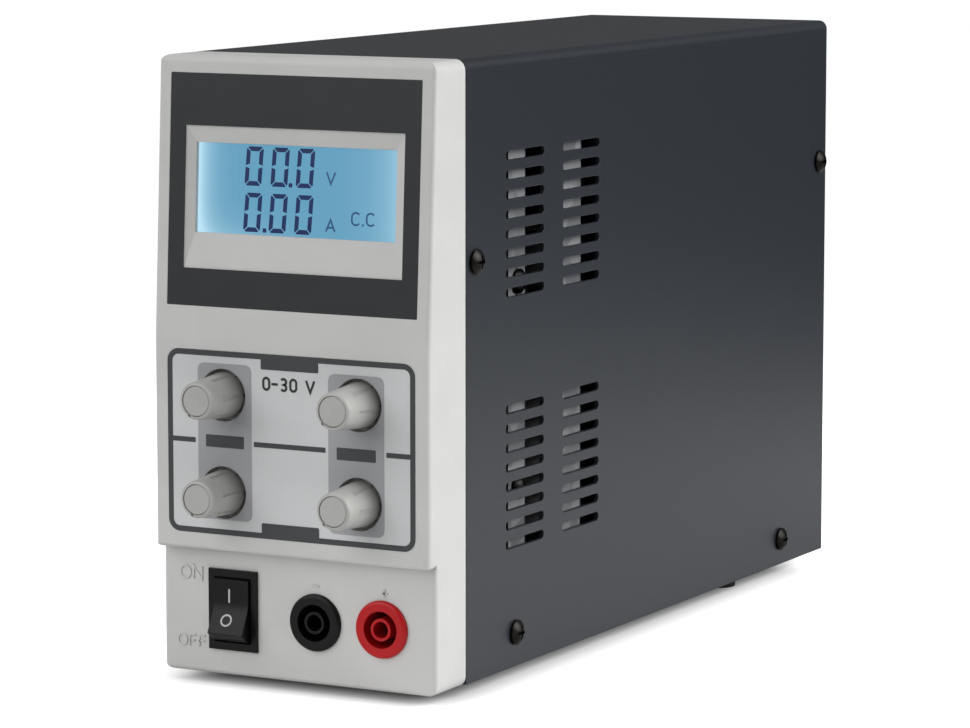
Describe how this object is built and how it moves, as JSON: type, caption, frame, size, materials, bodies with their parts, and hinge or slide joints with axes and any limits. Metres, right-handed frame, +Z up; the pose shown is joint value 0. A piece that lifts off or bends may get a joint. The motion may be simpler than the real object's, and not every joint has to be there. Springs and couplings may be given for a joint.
{
  "type": "laboratory power supply",
  "caption": "Narrow upright bench power supply: grey front bezel with a lit display, turning knobs, a rocker switch and safety sockets, dark vented steel case, rear fan and mains inlet.",
  "frame": {"origin": "on the resting surface under the feet, at the middle of the whole box", "axes": "+Z up, front panel towards -Y, +X to the right as seen from the front, +Y to the rear"},
  "size_m": [0.0854, 0.2632, 0.1635],
  "materials": {
    "galvanised_steel": "matt zinc-coated sheet",
    "grey_powder_coat": "dark grey satin powder coat",
    "light_grey_abs": "light grey moulded plastic",
    "dark_printed_film": "dark printed film",
    "grey_printed_film": "light grey printed film",
    "blue_lcd": "lit blue liquid crystal cell",
    "light_guide": "white light guide",
    "green_board": "green solder mask",
    "blue_phenolic": "blue component body",
    "nickel_plate": "nickel plate",
    "warm_grey_plastic": "warm grey moulded plastic",
    "warm_grey_cap": "warm grey moulded plastic",
    "black_nylon": "black moulded plastic",
    "red_nylon": "red moulded plastic",
    "brass_plate": "bright brass",
    "black_screw": "black zinc",
    "dark_screw": "dark zinc",
    "black_rubber": "black rubber",
    "chrome_wire": "bright plated wire",
    "fuse_glass": "clear glass tube with plated ends",
    "black_anodised": "black anodised extrusion",
    "ferrite": "dark ferrite",
    "capacitor_sleeve": "dark shrink sleeve",
    "copper_wire": "enamelled copper wire"
  },
  "bodies": {
    "case": {"chassis": "galvanised_steel", "cover": "grey_powder_coat", "rear_panel": "grey_powder_coat", "right_side_plate": "galvanised_steel", "left_side_plate": "galvanised_steel", "front_bezel": "light_grey_abs", "display_label": "dark_printed_film", "control_label": "grey_printed_film", "display_glass": "blue_lcd", "display_light": "light_guide", "display_board": "green_board", "control_board": "green_board", "potentiometers": "blue_phenolic", "pot_nuts": "nickel_plate", "switch_body": "black_nylon", "switch_terminals": "brass_plate", "black_socket": "black_nylon", "red_socket": "red_nylon", "black_contact": "nickel_plate", "red_contact": "nickel_plate", "socket_nuts": "nickel_plate", "cover_screws": "black_screw", "plate_screws": "dark_screw", "bezel_screws": "nickel_plate", "display_screws": "nickel_plate", "feet": "black_rubber", "foot_screws": "nickel_plate", "foot_nuts": "nickel_plate", "fan_frame": "black_nylon", "fan_guard": "chrome_wire", "fan_screws": "dark_screw", "inlet_housing": "black_nylon", "inlet_pins": "nickel_plate", "inlet_screws": "black_screw", "main_board": "green_board", "board_standoffs": "brass_plate", "heatsinks": "black_anodised", "power_transistors": "black_nylon", "transformer": "ferrite", "capacitors": "capacitor_sleeve", "output_choke": "copper_wire"},
    "voltage_fine_dial": {"voltage_fine_spindle": "nickel_plate", "voltage_fine_knob": "warm_grey_plastic", "voltage_fine_cap": "warm_grey_cap"},
    "voltage_coarse_dial": {"voltage_coarse_spindle": "nickel_plate", "voltage_coarse_knob": "warm_grey_plastic", "voltage_coarse_cap": "warm_grey_cap"},
    "current_fine_dial": {"current_fine_spindle": "nickel_plate", "current_fine_knob": "warm_grey_plastic", "current_fine_cap": "warm_grey_cap"},
    "current_coarse_dial": {"current_coarse_spindle": "nickel_plate", "current_coarse_knob": "warm_grey_plastic", "current_coarse_cap": "warm_grey_cap"},
    "power_rocker": {"switch_rocker": "black_nylon"},
    "fan": {"fan_rotor": "black_nylon"},
    "fuse_holder": {"fuse_drawer": "black_nylon", "fuse": "fuse_glass"}
  },
  "joints": [
    {"name": "voltage_fine_turn", "type": "hinge", "parent": "case", "child": "voltage_fine_dial", "pos_m": [-0.02, -0.1186, 0.0768], "axis": [0, 1, 0], "range_deg": [0, 300]},
    {"name": "voltage_coarse_turn", "type": "hinge", "parent": "case", "child": "voltage_coarse_dial", "pos_m": [0.02, -0.1186, 0.0768], "axis": [0, 1, 0], "range_deg": [0, 300]},
    {"name": "current_fine_turn", "type": "hinge", "parent": "case", "child": "current_fine_dial", "pos_m": [-0.02, -0.1186, 0.0515], "axis": [0, 1, 0], "range_deg": [0, 300]},
    {"name": "current_coarse_turn", "type": "hinge", "parent": "case", "child": "current_coarse_dial", "pos_m": [0.02, -0.1186, 0.0515], "axis": [0, 1, 0], "range_deg": [0, 300]},
    {"name": "rocker_tilt", "type": "hinge", "parent": "case", "child": "power_rocker", "pos_m": [-0.0192, -0.1132, 0.0203], "axis": [1, 0, 0], "range_deg": [0, 27]},
    {"name": "fan_spin", "type": "hinge", "parent": "case", "child": "fan", "pos_m": [0, 0.1155, 0.1155], "axis": [0, 1, 0], "continuous": true},
    {"name": "fuse_slide", "type": "slide", "parent": "case", "child": "fuse_holder", "axis": [0, 1, 0], "range_m": [0, 0.018]}
  ]
}
